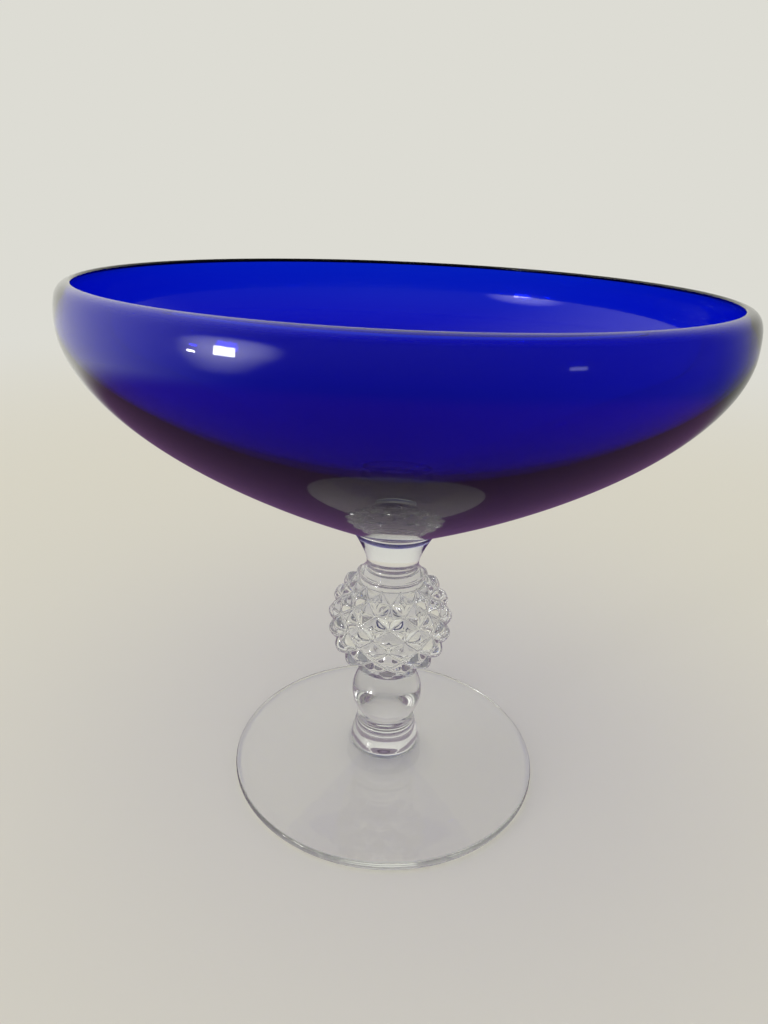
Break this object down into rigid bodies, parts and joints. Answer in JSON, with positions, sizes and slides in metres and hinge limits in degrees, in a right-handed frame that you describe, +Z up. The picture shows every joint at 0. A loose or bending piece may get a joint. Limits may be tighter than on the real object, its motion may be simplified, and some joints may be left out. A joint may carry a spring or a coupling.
{
  "type": "candy dish",
  "caption": "Footed glass candy dish: a wide cobalt blue bowl with a turned-in rim on a clear stem with a studded ball, a plain ball, a collar and a disc foot.",
  "frame": {"origin": "on the table, under the middle of the foot", "axes": "+Z up along the stem; a stud of the row just above the ball's middle faces -Y"},
  "size_m": [0.152, 0.152, 0.1355],
  "materials": {
    "cobalt_glass": "blown and fire-polished",
    "clear_glass": "pressed and fire-polished"
  },
  "bodies": {
    "root": {"bowl": "cobalt_glass", "stem_neck": "clear_glass", "studded_ball": "clear_glass", "ball_knop": "clear_glass", "foot_collar": "clear_glass", "foot": "clear_glass"}
  },
  "joints": []
}
